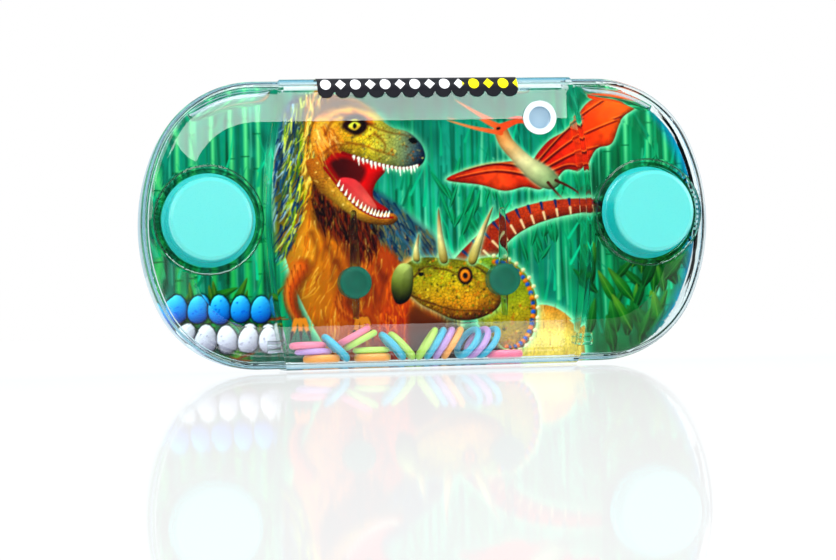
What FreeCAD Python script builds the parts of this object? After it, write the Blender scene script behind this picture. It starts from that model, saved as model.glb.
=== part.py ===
import FreeCAD, Part
import math
import os

# Hand-held water ring-toss game, in millimetres.
# +Z is up, X runs along the case, and the front with the two buttons faces -Y.
# The origin is under the middle of the bounding box: the case stands on its long lower edge.

# ---- driving dimensions ----
caseLength = 140.0        # along X
caseHeight = 70.0         # along Z
caseDepth = 22.0          # front window to rear face
buttonStand = 6.5         # button top above the front window
wall = 1.5                # shell walls
frontWall = 2.0           # front wall at the flat window
tankDepth = 10.2          # water space, front wall to tank back
beltStep = 0.4            # how far the middle of the case stands proud of the two ends
cornerRadius = 26.0       # outline, the four corner arcs
endRadius = 48.0          # outline, the flatter arc at each end
frontRounding = 4.0       # edge of the front shell, outside
borderWidth = 6.5         # sloping border between that edge and the flat window
borderDrop = 0.9          # and how far it falls
innerRounding = 2.0       # and inside
rearRounding = 3.0        # edge of the rear cover
cardThickness = 0.4
cardInset = 2.4           # card edge inside the case outline
buttonSpread = 53.6       # button axes either side of the middle
buttonRise = 1.3          # and above the middle of the case
buttonTopRadius = 9.9
buttonBaseRadius = 10.15
collarInner = 10.5
guideInner = 11.5
guideOuter = 12.4
bossRing = 13.5           # raised ring round the guide's mouth
fitGap = 0.05             # air left where a loose-fitted piece lies on the shell
rebate = 0.3              # shoulder in the side wall that the tank back sits on
dividerTopX = 34.9        # divider's middle line at the top and bottom edges
dividerMidX = 39.3        # and half-way up, where it bows outwards
dividerThickness = 1.4
pegSpread = 18.3
pegHeight = 20.8
ringOuter = 9.0
ringSection = 1.6

# ---- places worked out from them ----
midZ = caseHeight / 2
buttonZ = midZ + buttonRise
frontY = buttonStand - (caseDepth + buttonStand) / 2
rearY = frontY + caseDepth
wallInY = frontY + frontWall            # inside of the front wall
tankBackY = wallInY + tankDepth         # front face of the tank back
partingY = tankBackY + wall             # where front shell and rear cover meet
ringMidY = wallInY + tankDepth / 2
guideEndY = partingY - wall - 3.4       # inner end of the button guides
outDir = FreeCAD.Vector(0, 1, 0)


def vec(x, y, z):
    return FreeCAD.Vector(x, y, z)


def joinWire(points):
    """A closed wire from a list of ("line"|"arc", points) pieces."""
    edges = []
    for kind, pts in points:
        if kind == "line":
            edges.append(Part.LineSegment(*pts).toShape())
        else:
            edges.append(Part.Arc(*pts).toShape())
    return Part.Wire(edges)


def outlineWire(inset, y):
    """The case outline, moved in by inset: straight top and bottom, three arcs round each end."""
    halfL, halfH = caseLength / 2 - inset, caseHeight / 2 - inset
    rc, re = cornerRadius - inset, endRadius - inset
    endCx = halfL - re
    cornerCz = halfH - rc
    cornerCx = endCx + math.sqrt((re - rc) ** 2 - cornerCz ** 2)
    lean = math.atan2(cornerCz, cornerCx - endCx)       # where corner arc meets end arc

    def cornerPoint(angle, sx, sz):
        return vec(sx * (cornerCx + rc * math.cos(angle)), y,
                   midZ + sz * (cornerCz + rc * math.sin(angle)))

    half = (math.pi / 2 + lean) / 2
    pieces = []
    for sx in (1, -1):
        top, bottom = (1, -1) if sx == 1 else (-1, 1)
        pieces.append(("line", (cornerPoint(math.pi / 2, -sx, top), cornerPoint(math.pi / 2, sx, top))))
        pieces.append(("arc", (cornerPoint(math.pi / 2, sx, top), cornerPoint(half, sx, top),
                               cornerPoint(lean, sx, top))))
        pieces.append(("arc", (cornerPoint(lean, sx, top), vec(sx * halfL, y, midZ),
                               cornerPoint(lean, sx, bottom))))
        pieces.append(("arc", (cornerPoint(lean, sx, bottom), cornerPoint(half, sx, bottom),
                               cornerPoint(math.pi / 2, sx, bottom))))
    return joinWire(pieces)


def plate(inset, y0, y1):
    """A solid slab of the case outline from y0 to y1."""
    return Part.Face(outlineWire(inset, y0)).extrude(outDir * (y1 - y0))


def roundedPlate(inset, y0, y1, radius, atY):
    """The same slab with the edge at depth atY rounded."""
    solid = plate(inset, y0, y1)
    edges = [e for e in solid.Edges if all(abs(v.Y - atY) < 1e-6 for v in e.Vertexes)]
    return solid.makeFillet(radius, edges)


def disc(x, z, y0, y1, radius):
    """A round bar along Y."""
    return Part.makeCylinder(radius, y1 - y0, vec(x, y0, z), outDir)


def tube(x, z, y0, y1, outer, inner):
    return disc(x, z, y0, y1, outer).cut(disc(x, z, y0 - 1, y1 + 1, inner))


def turned(profile, x, z):
    """A solid of revolution about the Y axis through (x, z), from (radius, y) corners."""
    points = [vec(x + r, y, z) for r, y in profile]
    wire = Part.makePolygon(points + [points[0]])
    return Part.Face(wire).revolve(vec(x, 0, z), outDir, 360)


def bowedPrism(side, offset, y0, y1):
    """Everything between the middle plane and a divider's bowed face, as one prism."""
    top, mid = dividerTopX + offset, dividerMidX + offset
    a, b, c = vec(side * top, y0, 0), vec(side * mid, y0, midZ), vec(side * top, y0, caseHeight)
    d, e = vec(0, y0, caseHeight), vec(0, y0, 0)
    wire = joinWire([("arc", (a, b, c)), ("line", (c, d)), ("line", (d, e)), ("line", (e, a))])
    return Part.Face(wire).extrude(outDir * (y1 - y0))


def belt(offset, y0, y1):
    """The middle band of the case between both bowed faces."""
    return bowedPrism(1, offset, y0, y1).fuse(bowedPrism(-1, offset, y0, y1)).removeSplitter()


def frontSlab(inset):
    """The outside of the front shell: rounded edge, sloping border and flat window."""
    windowY = frontY + inset
    borderY = windowY + borderDrop
    base = roundedPlate(inset, borderY, partingY, frontRounding, borderY)
    foot = outlineWire(frontRounding + inset, borderY)
    top = outlineWire(frontRounding + borderWidth, windowY)
    return base.fuse(Part.makeLoft([foot, top], True, True)).removeSplitter()


def makeFrontShell():
    middle = frontSlab(0).common(belt(dividerThickness / 2, frontY - 1, partingY + 1))
    shell = frontSlab(beltStep).fuse(middle).removeSplitter()
    for side in (-1, 1):
        shell = shell.fuse(disc(side * buttonSpread, buttonZ, frontY + beltStep, wallInY, bossRing))
    hollow = roundedPlate(wall + beltStep, wallInY, partingY + 1, innerRounding, wallInY)
    seat = plate(wall + beltStep - rebate, tankBackY, partingY + 1)
    shell = shell.cut(hollow).cut(seat)
    for side in (-1, 1):
        x = side * buttonSpread
        shell = shell.cut(disc(x, buttonZ, frontY - 1, wallInY + 1, guideInner))
        shell = shell.fuse(tube(x, buttonZ, frontY + beltStep, guideEndY, guideOuter, guideInner))
    return shell.cut(disc(plugX, plugZ, frontY - 1, wallInY + 1, plugHole)).removeSplitter()


def makeRearCover():
    """A tray behind the card, with the dry pocket that the back of the card closes."""
    ends = roundedPlate(beltStep, partingY, rearY - beltStep, rearRounding, rearY - beltStep)
    middle = roundedPlate(0, partingY, rearY, rearRounding, rearY)
    middle = middle.common(belt(dividerThickness / 2, partingY - 1, rearY + 1))
    pocket = plate(cardInset + wall, partingY - 1, rearY - wall)
    cardBed = plate(cardInset, partingY - 1, partingY + cardThickness)
    return ends.fuse(middle).removeSplitter().cut(pocket).cut(cardBed)


def makeTankBack():
    return plate(wall + beltStep - rebate, tankBackY, partingY)


def makeCard():
    return plate(cardInset, partingY, partingY + cardThickness)


def makeDivider(side):
    """A bowed wall from the front wall to the tank back, with the jet's hole near its foot."""
    outer = bowedPrism(side, dividerThickness / 2, wallInY, tankBackY)
    inner = bowedPrism(side, -dividerThickness / 2, wallInY - 1, tankBackY + 1)
    hollow = roundedPlate(wall + beltStep, wallInY, tankBackY, innerRounding, wallInY)
    wallPiece = outer.cut(inner).common(hollow)
    hole = Part.makeCylinder(jetRadius, 12, vec(side * (dividerTopX - 5), ringMidY, jetZ),
                             vec(side, 0, 0))
    return wallPiece.cut(hole)


def makeJet(side):
    """A short nozzle through the divider that turns the pumped water up into the tank."""
    outX = dividerTopX + 5.0
    length = 2.6
    start = vec(side * outX, ringMidY, jetZ)
    body = Part.makeCylinder(jetRadius, length, start, vec(-side, 0, 0))
    tip = Part.makeCone(jetRadius, jetRadius * 0.6, 2.4, vec(side * (outX - length), ringMidY, jetZ),
                        vec(-side, 0, 0))
    bore = Part.makeCylinder(jetBore, length + 4, vec(side * (outX + 0.5), ringMidY, jetZ),
                             vec(-side, 0, 0))
    return body.fuse(tip).cut(bore).removeSplitter()


def makeButton(side):
    """A hollow cap with a rounded top and a retaining flange at its inner end."""
    x = side * buttonSpread
    topY = frontY - buttonStand
    edge = 1.0
    skirtY = flangeY + flangeThickness
    outer = turned([(0, topY), (buttonTopRadius - edge, topY),
                    (buttonTopRadius - edge * 0.3, topY + edge * 0.3),
                    (buttonTopRadius, topY + edge), (buttonBaseRadius, frontY - 0.4),
                    (buttonBaseRadius, flangeY), (flangeRadius, flangeY), (flangeRadius, skirtY),
                    (0, skirtY)], x, buttonZ)
    inner = turned([(0, topY + capWall), (buttonTopRadius - capWall, topY + capWall),
                    (buttonBaseRadius - capWall, frontY), (buttonBaseRadius - capWall, skirtY + 1),
                    (0, skirtY + 1)], x, buttonZ)
    return outer.cut(inner)


def makeCollar(side):
    """A clear ring on the front of the shell that keeps the button in."""
    x = side * buttonSpread
    faceY = frontY + beltStep - fitGap
    spigot = guideInner - fitGap
    profile = [(collarInner, faceY - collarHeight), (collarOuter - 0.5, faceY - collarHeight),
               (collarOuter, faceY - collarHeight + 0.5), (collarOuter, faceY),
               (spigot, faceY), (spigot, collarLipY), (collarInner, collarLipY)]
    return turned(profile, x, buttonZ)


def makeBellows(side):
    """A rubber cup whose dome follows the button and pushes the water out of the end chamber."""
    x = side * buttonSpread
    domeY = flangeY + flangeThickness + 0.3
    outer = [(0, domeY), (domeRadius, domeY), (guideInner - 0.4, guideEndY), (guideOuter, guideEndY),
             (guideOuter, guideEndY + rubber), (guideInner - 0.4 - rubber, guideEndY + rubber),
             (domeRadius - rubber, domeY + rubber), (0, domeY + rubber)]
    return turned(outer, x, buttonZ)


def makeClampRing(side):
    """A ring behind the rubber cup's rim that holds it on the end of the guide."""
    x = side * buttonSpread
    y0 = guideEndY + rubber
    return tube(x, buttonZ, y0, y0 + 1.0, guideOuter, guideInner - 1.2)


def makePeg(side):
    """A round boss on the tank back with a tapering spike above it and a short stub below."""
    x = side * pegSpread
    bossY = ringMidY - bossReach
    boss = disc(x, pegHeight, bossY, tankBackY, bossRadius)
    rim = [e for e in boss.Edges if abs(e.CenterOfMass.y - bossY) < 1e-6 and len(e.Vertexes) == 1]
    boss = boss.makeFillet(0.6, rim)
    recess = disc(x, pegHeight, bossY - 1, bossY + 1, bossRadius * 0.66)
    spikeFoot = pegHeight + bossRadius * 0.8
    spike = Part.makeCone(1.3, 0.75, spikeTopZ - spikeFoot, vec(x, ringMidY, spikeFoot), vec(0, 0, 1))
    tip = Part.makeSphere(0.75, vec(x, ringMidY, spikeTopZ))
    stub = Part.makeCone(0.7, 1.0, pegHeight - stubEndZ - bossRadius * 0.8,
                         vec(x, ringMidY, stubEndZ), vec(0, 0, 1))
    return boss.cut(recess).fuse([spike, tip, stub]).removeSplitter()


def makePlug():
    """The filler plug: a ring-shaped head on the front with a hollow stem in the front wall."""
    head = disc(plugX, plugZ, frontY - 0.6, frontY - fitGap, plugRadius)
    stem = disc(plugX, plugZ, frontY - fitGap, wallInY + 0.8, plugHole - fitGap)
    recess = disc(plugX, plugZ, frontY - 1, frontY + 0.6, plugRadius * 0.66)
    return head.fuse(stem).cut(recess).removeSplitter()


def makeSticker():
    """A thin label over the top edge: down the rounded front with a scalloped lower edge."""
    grown = frontSlab(0).makeOffsetShape(stickerThickness, 1e-4, fill=False, join=2)
    x0 = stickerMidX - stickerLength / 2
    scallopR = stickerLength / stickerScallops / 2
    mask = Part.makeBox(stickerLength, stickerRearY - frontY + 2, 12,
                        vec(x0, frontY - 2, stickerLowZ + scallopR * 0.7))
    discs = [disc(x0 + scallopR * (2 * i + 1), stickerLowZ + scallopR, frontY - 2, stickerRearY, scallopR)
             for i in range(stickerScallops)]
    return grown.common(mask.fuse(discs).removeSplitter()).cut(frontSlab(0))


def makeRing(x, z, lean, swing):
    """One soft ring in the tank, just clear of its back: lean tips it in the front view, swing turns it."""
    ring = Part.makeTorus(ringR, ringSection / 2)
    ring.rotate(vec(0, 0, 0), vec(0, 1, 0), -lean)
    ring.rotate(vec(0, 0, 0), vec(0, 0, 1), swing)
    ring.translate(vec(x, heapY, z))
    return ring


# ---- sizes of the smaller features ----
plugX, plugZ = 27.1, 59.7
plugRadius, plugHole = 4.1, 3.2
jetZ, jetRadius, jetBore = 6.0, 1.6, 0.7
collarHeight, collarOuter = 0.6, 13.2
collarLipY = frontY + frontWall - 0.4
flangeY = collarLipY + 0.3
flangeThickness, flangeRadius = 1.0, 11.2
capWall = 1.3
domeRadius, rubber = 8.2, 0.7
bossRadius, bossReach = 3.9, 2.0
spikeTopZ, stubEndZ = 37.6, 12.0
stickerLength, stickerMidX, stickerLowZ = 49.0, -2.3, 65.0
stickerRearY, stickerThickness, stickerScallops = 4.0, 0.15, 12

# ---- the heap of rings: colour, x, height above the floor, lean and swing ----
ringR = (ringOuter - ringSection) / 2
ringFloorZ = wall + beltStep
floorGap = 0.2
heapY = tankBackY - ringOuter / 2 - 0.25
flatRise = ringSection / 2 + floorGap     # a ring lying flat on the floor
stackStep = ringSection + 0.05            # one ring on another
steepLean, steepStep = 57.0, 2.1
steepRise = flatRise + ringR * math.sin(math.radians(steepLean))
ringHeap = [("orange", -26.9, flatRise, 0, 0),
            ("lilac", -28.9, flatRise + stackStep, 0, 0),
            ("pink", -30.2, flatRise + stackStep * 2, 0, 0),
            ("blue", -23.4, 3.65, -45, 0),
            ("lime", -17.3, 5.3, 27, 0),
            ("pink", -18.9, 6.37, 27, 0),
            ("orange", -14.5, flatRise, 0, 0),
            ("lime", -14.8, flatRise + stackStep, 0, 0),
            ("blue", -9.6, 3.75, -47, 0),
            ("lime", -7.3, 3.75, -47, 0),
            ("pink", 18.1, flatRise, 0, 0)]
for count, colour in enumerate(("lime", "blue", "lilac", "orange")):
    ringHeap.append((colour, -1.1 + steepStep * count, steepRise, steepLean, 0))
for count, colour in enumerate(("blue", "lilac", "blue")):
    ringHeap.append((colour, 9.0 + (steepStep + 0.3) * count, steepRise, steepLean, 25))

nodes = {"front_shell": makeFrontShell(), "tank_back": makeTankBack(), "printed_card": makeCard(),
         "rear_cover": makeRearCover(), "filler_plug": makePlug(), "top_sticker": makeSticker()}
for side, name in ((-1, "left"), (1, "right")):
    nodes[name + "_divider"] = makeDivider(side)
    nodes[name + "_jet"] = makeJet(side)
    nodes[name + "_collar"] = makeCollar(side)
    nodes[name + "_button"] = makeButton(side)
    nodes[name + "_bellows"] = makeBellows(side)
    nodes[name + "_clamp_ring"] = makeClampRing(side)
    nodes[name + "_peg"] = makePeg(side)

for wanted in ("blue", "lime", "pink", "orange", "lilac"):
    heap = [makeRing(x, ringFloorZ + rise, lean, swing)
            for colour, x, rise, lean, swing in ringHeap if colour == wanted]
    nodes[wanted + "_rings"] = Part.makeCompound(heap)

os.makedirs("parts", exist_ok=True)
for name, shape in nodes.items():
    shape.exportStep("parts/" + name + ".step")
    box = shape.BoundBox
    print(name, "valid", shape.isValid(), "solids", len(shape.Solids), "volume", round(shape.Volume, 1),
          "x", round(box.XMin, 2), round(box.XMax, 2), "y", round(box.YMin, 2), round(box.YMax, 2),
          "z", round(box.ZMin, 2), round(box.ZMax, 2))
whole = Part.makeCompound(list(nodes.values())).BoundBox
print("overall", round(whole.XLength, 2), round(whole.YLength, 2), round(whole.ZLength, 2),
      "centre", round(whole.Center.x, 3), round(whole.Center.y, 3), "base", round(whole.ZMin, 3))
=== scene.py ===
import bpy, bmesh, math
import numpy as np
from mathutils import Vector, Matrix


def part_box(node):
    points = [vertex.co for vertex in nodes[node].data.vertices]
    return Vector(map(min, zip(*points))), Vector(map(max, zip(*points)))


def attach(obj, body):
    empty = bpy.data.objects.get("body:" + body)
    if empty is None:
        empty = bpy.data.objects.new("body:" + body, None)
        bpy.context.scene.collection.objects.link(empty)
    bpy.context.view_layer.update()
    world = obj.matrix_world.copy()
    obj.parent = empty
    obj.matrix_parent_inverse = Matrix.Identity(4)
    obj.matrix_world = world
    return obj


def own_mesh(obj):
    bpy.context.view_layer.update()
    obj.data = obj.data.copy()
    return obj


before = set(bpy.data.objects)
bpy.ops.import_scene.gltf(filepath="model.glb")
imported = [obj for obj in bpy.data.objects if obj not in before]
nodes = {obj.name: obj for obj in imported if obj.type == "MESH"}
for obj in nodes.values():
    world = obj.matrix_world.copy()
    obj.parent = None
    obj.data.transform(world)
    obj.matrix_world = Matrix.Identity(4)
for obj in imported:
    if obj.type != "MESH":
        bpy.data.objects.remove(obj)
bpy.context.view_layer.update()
mm = 0.001
print("frame loaded:", len(nodes), "nodes")

# places taken from the frame, in millimetres
shellLow, shellHigh = [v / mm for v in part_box("front_shell")]
backLow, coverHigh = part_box("tank_back")[0] / mm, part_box("rear_cover")[1] / mm
cardLow, cardHigh = [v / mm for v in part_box("printed_card")]
midZ = (shellLow.z + shellHigh.z) / 2
frontY, partingY, rearY = shellLow.y, shellHigh.y, coverHigh.y


# small material helpers
def newMaterial(name):
    mat = bpy.data.materials.new(name)
    mat.use_nodes = True
    mat.node_tree.nodes.clear()
    return mat, mat.node_tree.nodes, mat.node_tree.links


def addNodes(nds, *kinds):
    return [nds.new("ShaderNode" + kind) for kind in kinds]


def setInputs(node, values):
    for key, value in values.items():
        node.inputs[key].default_value = value


def axesOf(nds, lks, space="Object"):
    # the X, Y and Z of a shaded point
    where, split = addNodes(nds, "TexCoord", "SeparateXYZ")
    lks.new(where.outputs[space], split.inputs[0])
    return split.outputs


def feed(lks, sockets, values):
    # a number or a colour is set on its socket, anything else is linked to it
    for socket, value in zip(sockets, values):
        if isinstance(value, (int, float)):
            socket.default_value = value
        elif isinstance(value, tuple):
            socket.default_value = (*value, 1)
        else:
            lks.new(value, socket)


def blendColours(nds, lks, *values):
    # values: share of the second colour, first colour, second colour
    mix = nds.new("ShaderNodeMix")
    mix.data_type = "RGBA"
    feed(lks, [mix.inputs[0]] + [i for i in mix.inputs if i.type == "RGBA"], values)
    return [o for o in mix.outputs if o.type == "RGBA"][0]


def mixShaders(nds, lks, *values):
    # values: share of the second shader, first shader, second shader
    mix = nds.new("ShaderNodeMixShader")
    feed(lks, mix.inputs, values)
    return mix.outputs[0]


def plainPlastic(name, colour, rough=0.3, coat=0.0, subsurface=0.0, specular=0.5, grainSize=0.6,
                 relief=0.02):
    mat, nds, lks = newMaterial(name)
    out, bsdf = addNodes(nds, "OutputMaterial", "BsdfPrincipled")
    setInputs(bsdf, {"Base Color": (*colour, 1), "Roughness": rough, "Specular IOR Level": specular,
                     "Coat Weight": coat, "Coat Roughness": 0.08})
    if subsurface:
        setInputs(bsdf, {"Subsurface Weight": subsurface, "Subsurface Scale": 1.5 * mm})
    # moulding grain: a little relief and a little change in gloss
    where, noise, bump, gloss = addNodes(nds, "TexCoord", "TexNoise", "Bump", "MapRange")
    setInputs(noise, {"Scale": 1 / (grainSize * mm), "Detail": 4})
    setInputs(bump, {"Strength": 0.5, "Distance": relief * mm})
    setInputs(gloss, {"To Min": rough * 0.8, "To Max": rough * 1.25})
    lks.new(where.outputs["Object"], noise.inputs["Vector"])
    lks.new(noise.outputs[0], bump.inputs["Height"])
    lks.new(bump.outputs[0], bsdf.inputs["Normal"])
    lks.new(noise.outputs[0], gloss.inputs["Value"])
    lks.new(gloss.outputs[0], bsdf.inputs["Roughness"])
    lks.new(bsdf.outputs[0], out.inputs[0])
    return mat


def clearPlastic(name, colour, ior, rough=0.0):
    # refracts what is seen through it, and lets lamp light and bounced light straight in
    mat, nds, lks = newMaterial(name)
    out, glass = addNodes(nds, "OutputMaterial", "BsdfGlass")
    setInputs(glass, {"Color": (*colour, 1), "Roughness": rough, "IOR": ior})
    through, path, either = addNodes(nds, "BsdfTransparent", "LightPath", "Math")
    through.inputs["Color"].default_value = (*[0.5 + c / 2 for c in colour], 1)
    either.operation = "MAXIMUM"
    lks.new(path.outputs["Is Shadow Ray"], either.inputs[0])
    lks.new(path.outputs["Is Diffuse Ray"], either.inputs[1])
    lks.new(mixShaders(nds, lks, either.outputs[0], glass.outputs[0], through.outputs[0]), out.inputs[0])
    return mat


def cloudedPlastic(name, colour, ior, body, share):
    # see-through, with some of the plastic's own colour
    mat = clearPlastic(name, colour, ior)
    nds, lks = mat.node_tree.nodes, mat.node_tree.links
    out = next(n for n in nds if n.type == "OUTPUT_MATERIAL")
    clear = out.inputs[0].links[0].from_socket
    solid = nds.new("ShaderNodeBsdfPrincipled")
    setInputs(solid, {"Base Color": (*body, 1), "Roughness": 0.2})
    lks.new(mixShaders(nds, lks, share, clear, solid.outputs[0]), out.inputs[0])
    return mat


def seeThrough(name):
    # where two welded clear pieces touch, nothing is seen
    mat, nds, lks = newMaterial(name)
    out, through = addNodes(nds, "OutputMaterial", "BsdfTransparent")
    lks.new(through.outputs[0], out.inputs[0])
    return mat


def paintedLitFront(name, deep, pale, deepY, paleY):
    # moulded in one colour, with painted light: its front face is painted paler than its sides
    mat = plainPlastic(name, pale, rough=0.28, coat=0.35, subsurface=0.2, grainSize=0.25, relief=0.004)
    nds, lks = mat.node_tree.nodes, mat.node_tree.links
    ramp = nds.new("ShaderNodeMapRange")
    ramp.interpolation_type = "SMOOTHSTEP"
    setInputs(ramp, {"From Min": deepY * mm, "From Max": paleY * mm})
    lks.new(axesOf(nds, lks)["Y"], ramp.inputs["Value"])
    bsdf = next(n for n in nds if n.type == "BSDF_PRINCIPLED")
    lks.new(blendColours(nds, lks, ramp.outputs[0], deep, pale), bsdf.inputs["Base Color"])
    return mat


labelLook = {"film": (0.006, 0.006, 0.01), "first": (0.93, 0.93, 0.95), "second": (1.0, 0.86, 0.0),
             "pitch": 3.62, "phase": 50.35, "dot": 1.3, "line": 68.4, "changeAt": 8.5}


def labelPrint():
    # a black film with a plain row of dots and diamonds, white and then yellow
    mat = plainPlastic("labelBlack", labelLook["film"], rough=0.45, specular=0.12, grainSize=0.3,
                       relief=0.005)
    nds, lks = mat.node_tree.nodes, mat.node_tree.links

    def math2(kind, a, b):
        node = nds.new("ShaderNodeMath")
        node.operation = kind
        feed(lks, node.inputs, (a, b))
        return node.outputs[0]

    axes = axesOf(nds, lks)
    x, z = math2("DIVIDE", axes["X"], mm), math2("DIVIDE", axes["Z"], mm)
    cell = math2("ADD", math2("DIVIDE", x, labelLook["pitch"]), labelLook["phase"])
    across = math2("MULTIPLY", math2("SUBTRACT", math2("FRACT", cell, 0), 0.5), labelLook["pitch"])
    up = math2("SUBTRACT", z, labelLook["line"])
    disc = math2("SQRT", math2("ADD", math2("MULTIPLY", across, across), math2("MULTIPLY", up, up)), 0)
    diamond = math2("ADD", math2("ABSOLUTE", across, 0), math2("ABSOLUTE", up, 0))
    odd = math2("GREATER_THAN", math2("MODULO", math2("FLOOR", cell, 0), 2), 0.5)
    straight = math2("MULTIPLY", math2("SUBTRACT", 1.0, odd), diamond)
    reach = math2("ADD", math2("MULTIPLY", odd, disc), straight)
    mark = math2("LESS_THAN", reach, labelLook["dot"])
    second = math2("GREATER_THAN", x, labelLook["changeAt"])
    inks = blendColours(nds, lks, second, labelLook["first"], labelLook["second"])
    bsdf = next(n for n in nds if n.type == "BSDF_PRINCIPLED")
    lks.new(blendColours(nds, lks, mark, labelLook["film"], inks), bsdf.inputs["Base Color"])
    return mat


# painted light: the paler top colour on the button's front face stands for light falling on it
buttonLook = {"side": (0.001, 0.56, 0.55), "top": (0.1, 0.62, 0.58), "fadeFrom": frontY - 5.0,
              "fadeTo": frontY - 6.1}
caseLook = {"tint": (0.97, 0.995, 0.99), "edgeTint": (0.78, 0.9, 0.95), "farEdgeTint": (0.97, 0.99, 1.0),
            "topTint": (0.52, 0.78, 0.88), "guideShadeTint": (0.42, 0.72, 0.62),
            "plasticIor": 1.49, "waterIor": 1.33, "guideIor": 1.1}
airFace = clearPlastic("clearCaseOutside", caseLook["tint"], caseLook["plasticIor"])
wetFace = clearPlastic("clearCaseInWater", caseLook["tint"], caseLook["plasticIor"] / caseLook["waterIor"])
edgeFace = clearPlastic("clearCaseEdge", caseLook["edgeTint"], caseLook["plasticIor"])
bubbleFace = clearPlastic("airInWater", (1, 1, 1), 1 / caseLook["waterIor"])
farEdgeFace = clearPlastic("clearCaseFarEdge", caseLook["farEdgeTint"], caseLook["plasticIor"])
topFace = clearPlastic("clearCaseTop", caseLook["topTint"], caseLook["plasticIor"])
weldFace = seeThrough("weldedJoint")
# painted shade: the clear guide wall gets a darker green, standing for the dark ring round each button
guideFace = clearPlastic("guideWall", caseLook["guideShadeTint"], caseLook["guideIor"])
trimFace = clearPlastic("clearTrim", (0.9, 0.98, 0.98), 1.3)
# one turquoise, with painted light making the front face paler
buttonPlastic = paintedLitFront("turquoiseButton", buttonLook["side"], buttonLook["top"], buttonLook["fadeFrom"],
                        buttonLook["fadeTo"])
softClear = clearPlastic("clearSilicone", (0.96, 1.0, 0.99), 1.05)
plugPlastic = plainPlastic("plugWhite", (0.72, 0.82, 0.86), 0.2, 0.5)
plugMiddle = plainPlastic("plugMiddle", (0.36, 0.52, 0.64), 0.15, 0.6)
pegPlastic = cloudedPlastic("pegTeal", (0.06, 0.74, 0.6), 1.12, (0.0, 0.17, 0.11), 0.55)
spikePlastic = clearPlastic("pegSpike", (0.66, 0.82, 0.8), 1.16)
labelFilm = labelPrint()
cardBoard = plainPlastic("cardBack", (0.8, 0.82, 0.8), 0.6)
ringColours = {"blue": (0.01, 0.42, 0.62), "lime": (0.42, 0.68, 0.08), "pink": (0.93, 0.18, 0.32),
               "orange": (0.98, 0.36, 0.05), "lilac": (0.48, 0.26, 0.62)}


def dress(node, *mats):
    mesh = nodes[node].data
    mesh.materials.clear()
    for m in mats:
        mesh.materials.append(m)
    return mesh


def easeApart(node, gap):
    # a hair's breadth off its neighbours, so that light never meets two clear faces in one place
    mod = nodes[node].modifiers.new("easeApart", "DISPLACE")
    mod.direction, mod.mid_level, mod.strength = "NORMAL", 0.0, -gap * mm


# the clear case: faces in air, faces in water and welded faces
caseShape = {"endRadius": 48.0, "cornerRadius": 26.0, "endStep": 0.4, "slack": 0.45}
caseZones = {"tankInset": 1.2, "guideRadius": 12.0, "guideWall": 0.6, "outside": 0.3, "wall": 1.9,
             "farEnd": 45, "belt": 37}


def shellFaces():
    zone, inset = caseZones, caseZones["tankInset"]  # this far inside the outline is in the tank
    mesh = dress("front_shell", airFace, wetFace, weldFace, edgeFace, guideFace, farEdgeFace, topFace)
    guide = buttonCentre("right_button")
    for f in mesh.polygons:
        c, n = f.center / mm, f.normal
        radial = math.hypot(abs(c.x) - guide.x, c.z - guide.z)
        if c.y > partingY - 0.02 and n.y > 0.9:
            f.material_index = 2
        elif (c.y > frontY + zone["outside"] and radial < zone["guideRadius"] + zone["guideWall"]
              and not nearOutline(c, 0.5)):
            f.material_index = 4  # the thin guide round the button
        elif c.y > frontY + zone["wall"] and radial > zone["guideRadius"] and not nearOutline(c, inset):
            f.material_index = 1
        elif abs(n.y) < 0.6 and nearOutline(c, inset):
            onBelt = abs(c.x) < zone["belt"] and c.z > midZ
            f.material_index = 5 if c.x > zone["farEnd"] else 6 if onBelt else 3
    mesh = dress("tank_back", wetFace, weldFace)
    for f in mesh.polygons:
        f.material_index = 0 if f.normal.y < -0.9 else 1
    mesh = dress("rear_cover", airFace, weldFace, edgeFace, farEdgeFace)
    for f in mesh.polygons:
        if f.center.y / mm < partingY + 0.02 and f.normal.y < -0.9:
            f.material_index = 1
        elif abs(f.normal.y) < 0.6:
            f.material_index = 3 if f.center.x / mm > zone["farEnd"] else 2


def nearOutline(c, inset):
    # the case outline: a long straight middle and flattened round ends
    halfH, reach = (shellHigh.z - shellLow.z) / 2, inset + caseShape["slack"]
    if abs(c.z - midZ) > halfH - reach:
        return True
    x, z = abs(c.x), abs(c.z - midZ)
    endR, cornerR = caseShape["endRadius"], caseShape["cornerRadius"]
    endX = shellHigh.x + caseShape["endStep"] - endR
    cornerX, cornerZ = cornerCentre(endX, endR, cornerR, halfH)
    if math.atan2(z, x - endX) < math.atan2(cornerZ, cornerX - endX):
        return math.hypot(x - endX, z) > endR - reach
    return x > cornerX and math.hypot(x - cornerX, z - cornerZ) > cornerR - reach


def cornerCentre(endX, endR, cornerR, halfH):
    # where a corner arc meets both the straight edge and the flatter end arc
    cornerZ = halfH - cornerR
    return endX + math.sqrt((endR - cornerR) ** 2 - cornerZ ** 2), cornerZ


def buttonCentre(node):
    low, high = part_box(node)
    return (low + high) / 2 / mm


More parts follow.
